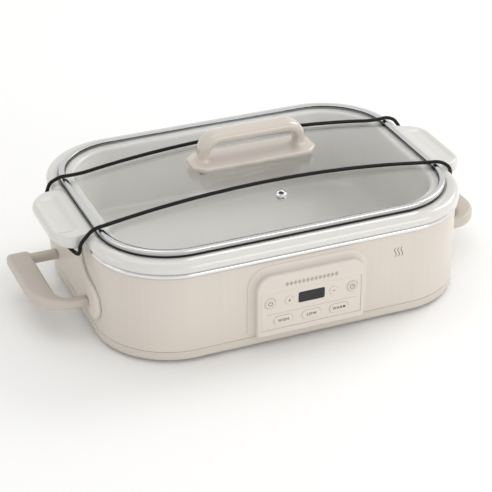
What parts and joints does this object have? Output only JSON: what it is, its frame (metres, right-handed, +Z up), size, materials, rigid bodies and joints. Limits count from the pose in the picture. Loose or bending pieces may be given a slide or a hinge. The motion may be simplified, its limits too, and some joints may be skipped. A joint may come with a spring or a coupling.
{
  "type": "slow cooker",
  "caption": "Rectangular casserole slow cooker: painted housing with push-button panel and looped side handles, lift-out ceramic crock, domed glass lid with bow handle, elastic lid strap.",
  "frame": {"origin": "on the surface that the feet stand on, at the middle of the object's box", "axes": "+X along the long side towards the cook's right, +Y towards the back, away from the control panel, +Z up"},
  "size_m": [0.446, 0.2738, 0.1515],
  "materials": {
    "paint": "satin beige paint",
    "beige_plastic": "smooth beige moulded plastic",
    "panel_plastic": "satin beige moulded plastic",
    "button_plastic": "satin beige keycaps with grey printed marks",
    "handle_plastic": "glossy cream moulded plastic",
    "chrome": "mirror-bright rolled band",
    "polished_steel": "polished rim",
    "screw_steel": "zinc-plated screws",
    "well_metal": "satin pressed sheet",
    "heater_mica": "mica heating band",
    "insulation": "white fibre felt",
    "board": "green circuit board",
    "black_plastic": "black moulded plastic",
    "lead": "red insulated wire",
    "fuse_case": "small metal can",
    "stoneware": "glossy white glaze",
    "clear_glass": "clear tempered glass",
    "seal": "black silicone gasket and washers",
    "elastic": "black elastic cord",
    "foot_rubber": "matte black feet",
    "display": "dark display window"
  },
  "bodies": {
    "housing": {"outer_wall": "paint", "base_tray": "beige_plastic", "trim_ring": "chrome", "heating_well": "well_metal", "heater_band": "heater_mica", "insulation_wrap": "insulation", "temperature_sensor": "well_metal", "power_board": "board", "power_relay": "black_plastic", "terminal_block": "beige_plastic", "thermal_fuse": "fuse_case", "heater_lead_left": "lead", "heater_lead_right": "lead", "ribbon_cable": "black_plastic", "cord_gland": "black_plastic", "control_bezel": "panel_plastic", "control_faceplate": "panel_plastic", "display_window": "display", "display_module": "black_plastic", "control_board": "board", "end_plate_left": "beige_plastic", "side_handle_left": "beige_plastic", "handle_screw_left_1": "screw_steel", "handle_screw_left_2": "screw_steel", "end_plate_right": "beige_plastic", "side_handle_right": "beige_plastic", "handle_screw_right_1": "screw_steel", "handle_screw_right_2": "screw_steel", "foot_1": "foot_rubber", "base_screw_1": "screw_steel", "foot_2": "foot_rubber", "base_screw_2": "screw_steel", "foot_3": "foot_rubber", "base_screw_3": "screw_steel", "foot_4": "foot_rubber", "base_screw_4": "screw_steel"},
    "crock": {"crock": "stoneware", "lid_strap": "elastic"},
    "lid": {"lid_glass": "clear_glass", "lid_rim": "polished_steel", "lid_gasket": "seal", "lid_handle": "handle_plastic", "steam_vent": "polished_steel", "lid_washer_left": "seal", "lid_washer_right": "seal", "lid_handle_screw_left": "screw_steel", "lid_handle_screw_right": "screw_steel"},
    "button_power": {"button_power": "button_plastic"},
    "button_plus": {"button_plus": "button_plastic"},
    "button_minus": {"button_minus": "button_plastic"},
    "button_timer": {"button_timer": "button_plastic"},
    "button_high": {"button_high": "button_plastic"},
    "button_low": {"button_low": "button_plastic"},
    "button_warm": {"button_warm": "button_plastic"}
  },
  "joints": [
    {"name": "crock_lift", "type": "slide", "parent": "housing", "child": "crock", "axis": [0, 0, 1], "range_m": [0, 0.12]},
    {"name": "lid_lift", "type": "slide", "parent": "crock", "child": "lid", "axis": [0, 0, 1], "range_m": [0, 0.08], "deforming": ["lid_strap"]},
    {"name": "power_press", "type": "slide", "parent": "housing", "child": "button_power", "axis": [0, 1, 0], "range_m": [0, 0.0008], "stiffness_N_per_m": 500},
    {"name": "plus_press", "type": "slide", "parent": "housing", "child": "button_plus", "axis": [0, 1, 0], "range_m": [0, 0.0008], "stiffness_N_per_m": 500},
    {"name": "minus_press", "type": "slide", "parent": "housing", "child": "button_minus", "axis": [0, 1, 0], "range_m": [0, 0.0008], "stiffness_N_per_m": 500},
    {"name": "timer_press", "type": "slide", "parent": "housing", "child": "button_timer", "axis": [0, 1, 0], "range_m": [0, 0.0008], "stiffness_N_per_m": 500},
    {"name": "high_press", "type": "slide", "parent": "housing", "child": "button_high", "axis": [0, 1, 0], "range_m": [0, 0.0008], "stiffness_N_per_m": 500},
    {"name": "low_press", "type": "slide", "parent": "housing", "child": "button_low", "axis": [0, 1, 0], "range_m": [0, 0.0008], "stiffness_N_per_m": 500},
    {"name": "warm_press", "type": "slide", "parent": "housing", "child": "button_warm", "axis": [0, 1, 0], "range_m": [0, 0.0008], "stiffness_N_per_m": 500}
  ]
}
